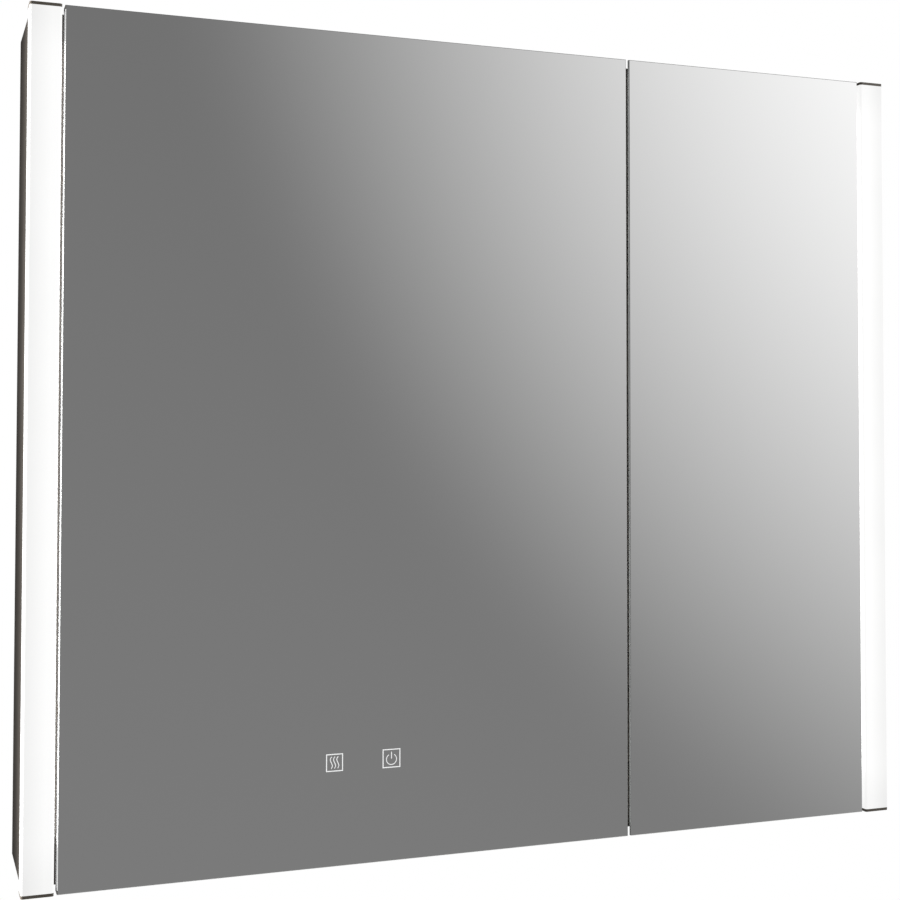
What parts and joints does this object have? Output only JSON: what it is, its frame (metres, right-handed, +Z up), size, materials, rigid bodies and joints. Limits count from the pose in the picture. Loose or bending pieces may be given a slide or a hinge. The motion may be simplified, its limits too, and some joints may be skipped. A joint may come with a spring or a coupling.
{
  "type": "medicine cabinet with mirror",
  "caption": "Wall-hung mirror cabinet with a wide and a narrow mirror door, glass shelves and a light bar down each side.",
  "frame": {"origin": "middle of the two wall screws, on the wall face", "axes": "+X to the right seen from the front, +Y into the wall, +Z up"},
  "size_m": [0.8, 0.12, 0.7],
  "materials": {
    "black_plastic": "moulded",
    "board_green": "circuit board",
    "body_paint": "satin warm grey powder coat",
    "cap_paint": "satin bronze grey",
    "clear_pad": "translucent",
    "frame_aluminium": "satin anodised",
    "heater_foil": "printed film",
    "led_strip": "white board",
    "magnet_metal": "nickel plated",
    "mirror": "polished",
    "opal_cover": "opal, translucent",
    "rear_steel": "light grey coated sheet",
    "rubber_pad": "matt",
    "shelf_glass": "polished",
    "white_plastic": "moulded",
    "zinc_steel": "zinc plated"
  },
  "bodies": {
    "cabinet": {"bar_screws": "zinc_steel", "bottom_panel": "body_paint", "cable_gland": "black_plastic", "catch_magnets": "magnet_metal", "centre_partition": "body_paint", "corner_keys": "frame_aluminium", "door_bumpers": "clear_pad", "duct_cover": "body_paint", "hanger_screws": "zinc_steel", "heater_transformer": "black_plastic", "led_driver": "white_plastic", "led_strips": "led_strip", "left_bottom_cap": "cap_paint", "left_diffuser": "opal_cover", "left_hanger": "zinc_steel", "left_interior_mirror": "mirror", "left_light_channel": "frame_aluminium", "left_lower_hinge_bracket": "zinc_steel", "left_lower_shelf": "shelf_glass", "left_side_profile": "body_paint", "left_top_cap": "cap_paint", "left_upper_hinge_bracket": "zinc_steel", "left_upper_shelf": "shelf_glass", "machine_screws": "zinc_steel", "profile_end_caps": "body_paint", "rear_cover": "rear_steel", "right_bottom_cap": "cap_paint", "right_diffuser": "opal_cover", "right_hanger": "zinc_steel", "right_interior_mirror": "mirror", "right_light_channel": "frame_aluminium", "right_lower_hinge_bracket": "zinc_steel", "right_lower_shelf": "shelf_glass", "right_side_profile": "body_paint", "right_top_cap": "cap_paint", "right_upper_hinge_bracket": "zinc_steel", "right_upper_shelf": "shelf_glass", "shelf_pegs": "zinc_steel", "terminal_block": "white_plastic", "top_panel": "body_paint", "wall_pads": "rubber_pad", "wall_rail": "zinc_steel"},
    "left_door": {"left_door_bottom_rail": "frame_aluminium", "left_door_closing_stile": "frame_aluminium", "left_door_hinge_stile": "frame_aluminium", "left_door_inner_mirror": "mirror", "left_door_mirror": "mirror", "left_door_pins": "zinc_steel", "left_door_strikes": "magnet_metal", "left_door_top_rail": "frame_aluminium", "heater_film": "heater_foil", "touch_board": "board_green"},
    "right_door": {"right_door_bottom_rail": "frame_aluminium", "right_door_closing_stile": "frame_aluminium", "right_door_hinge_stile": "frame_aluminium", "right_door_inner_mirror": "mirror", "right_door_mirror": "mirror", "right_door_pins": "zinc_steel", "right_door_strikes": "magnet_metal", "right_door_top_rail": "frame_aluminium"}
  },
  "joints": [
    {"name": "left_door_hinge", "type": "hinge", "parent": "cabinet", "child": "left_door", "pos_m": [-0.3655, -0.1117, -0.2875], "axis": [0, 0, -1], "range_deg": [0, 105]},
    {"name": "right_door_hinge", "type": "hinge", "parent": "cabinet", "child": "right_door", "pos_m": [0.3655, -0.1117, -0.2875], "axis": [0, 0, 1], "range_deg": [0, 105]}
  ]
}
